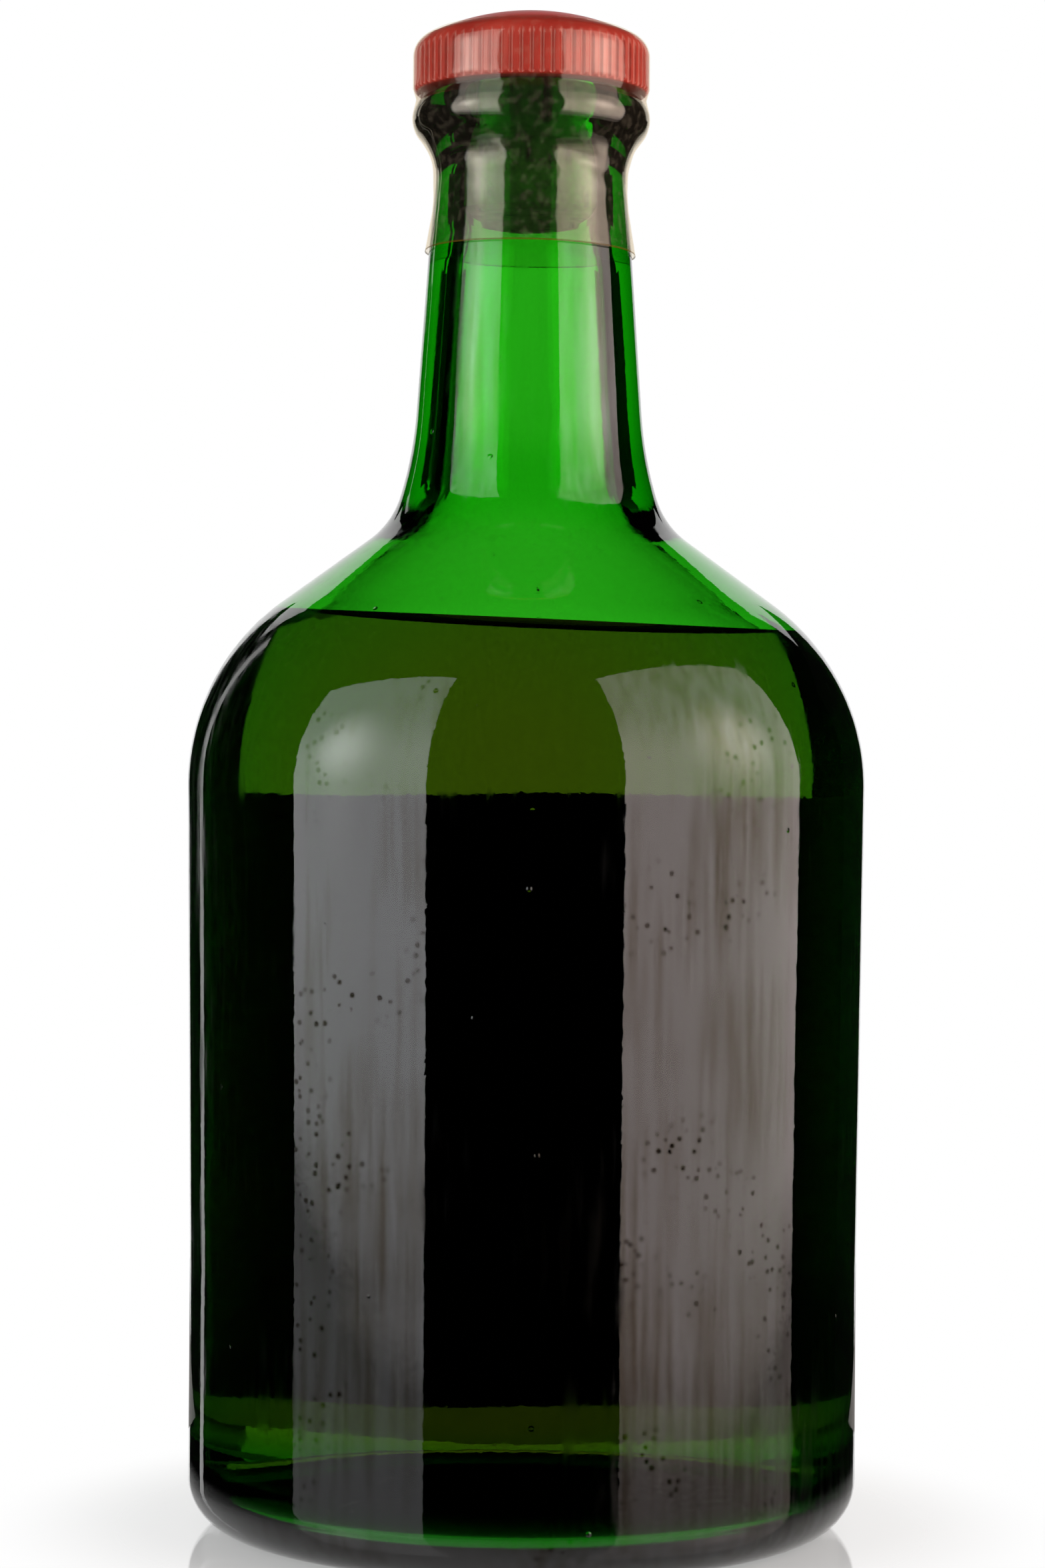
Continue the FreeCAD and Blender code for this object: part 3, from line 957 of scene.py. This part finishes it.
def softbox(name, near, far, colour, level, dim_below):
    """A tall flat softbox between two edges, each a bearing from the camera's side and a distance.

    Its middle is brightest and falls off smoothly, and its cloth is dimmer below a height.
    Distances and heights are in metres, because the lamp is.
    """
    foot, top = -0.20, 0.77
    tall = top - foot
    hot_strength, hot_reach = 4.2, 0.24
    foot_strength, top_strength = 0.8, 2.2
    cloth = ((dim_below - 0.02, 1.0), (dim_below, 2.2), (dim_below + 0.03, 3.2),
             (0.05, 3.8), (0.25, 3.8), (0.40, 2.8), (0.55, 2.4))
    bearing, away = np.radians([near[0], far[0]]), np.array([near[1], far[1]])
    ends = np.column_stack([away * np.sin(bearing), -away * np.cos(bearing)])
    along = ends[1] - ends[0]
    middle = ends.mean(axis=0)
    lamp = bpy.data.lights.new(name, "AREA")
    lamp.shape = "RECTANGLE"
    lamp.size = float(np.hypot(*along))
    lamp.size_y = tall
    lamp.color = colour[:3]
    lamp.energy = level * math.pi * lamp.size * lamp.size_y
    lamp.use_nodes = True
    tree = lamp.node_tree
    tree.nodes.clear()
    share = add(tree, "ShaderNodeNewGeometry").outputs["Parametric"]
    centred = add(tree, "ShaderNodeVectorMath", {
        0: share, 1: (0.5, 0.5, 0.0)}, operation="SUBTRACT").outputs[0]
    spot = add(tree, "ShaderNodeVectorMath", {
        0: centred, 1: (lamp.size, lamp.size_y, 0.0)}, operation="MULTIPLY").outputs[0]
    from_middle = add(tree, "ShaderNodeVectorMath", {0: spot}, operation="LENGTH").outputs["Value"]
    hot = add(tree, "ShaderNodeMapRange", {
        "Value": from_middle, "From Min": 0.0, "From Max": hot_reach,
        "To Min": hot_strength, "To Max": 0.0}, interpolation_type="SMOOTHSTEP").outputs[0]
    up = add(tree, "ShaderNodeSeparateXYZ", {"Vector": spot}).outputs["Y"]
    climbed = add(tree, "ShaderNodeMapRange", {
        "Value": up, "From Min": -tall / 2, "From Max": tall / 2}).outputs[0]
    ramp = add(tree, "ShaderNodeValToRGB", {"Fac": climbed})
    stops = ramp.color_ramp.elements
    stops[0].color = (foot_strength, foot_strength, foot_strength, 1)
    stops[1].color = (top_strength, top_strength, top_strength, 1)
    for height, strength in cloth:
        stops.new((height - foot) / tall).color = (strength, strength, strength, 1)
    total = add(tree, "ShaderNodeMath", {0: ramp.outputs[0], 1: hot}, operation="ADD").outputs[0]
    glow = add(tree, "ShaderNodeEmission", {"Color": WHITE, "Strength": total})
    add(tree, "ShaderNodeOutputLight", {"Surface": glow.outputs[0]})
    stand = bpy.data.objects.new(name, lamp)
    facing = math.atan2(along[1], along[0])
    if middle @ np.array([-along[1], along[0]]) > 0:
        facing += math.pi
    stand.location = (middle[0], middle[1], (foot + top) / 2)
    stand.rotation_euler = (math.radians(90), 0, facing)
    stand.visible_camera = False
    bpy.context.scene.collection.objects.link(stand)


pale_floor()
white_surround()
dark_studio()
softbox("softbox_left", (-31.6, 0.55), (-81.5, 0.95), linear("#FCFCFF"), 0.88, -0.040)
softbox("softbox_right", (31.2, 0.55), (101, 0.81), linear("#FFEFEB"), 0.92, -0.056)

# Camera: level, with the photograph's slight roll, its lens in millimetres on a frame 36 mm high
camera_aside, camera_distance, camera_height = -0.55, 540, 106.5
camera_lens, camera_frame, camera_roll = 85.71, 36.0, -0.42
camera = bpy.data.objects.new("camera", bpy.data.cameras.new("camera"))
camera.data.lens = camera_lens
camera.data.sensor_width = camera_frame
camera.data.clip_start = 0.01
camera.location = (camera_aside * MM, -camera_distance * MM, camera_height * MM)
camera.rotation_euler = (math.radians(90), math.radians(camera_roll), 0)
bpy.context.scene.collection.objects.link(camera)
bpy.context.scene.camera = camera
bpy.context.scene.view_settings.view_transform = "Standard"
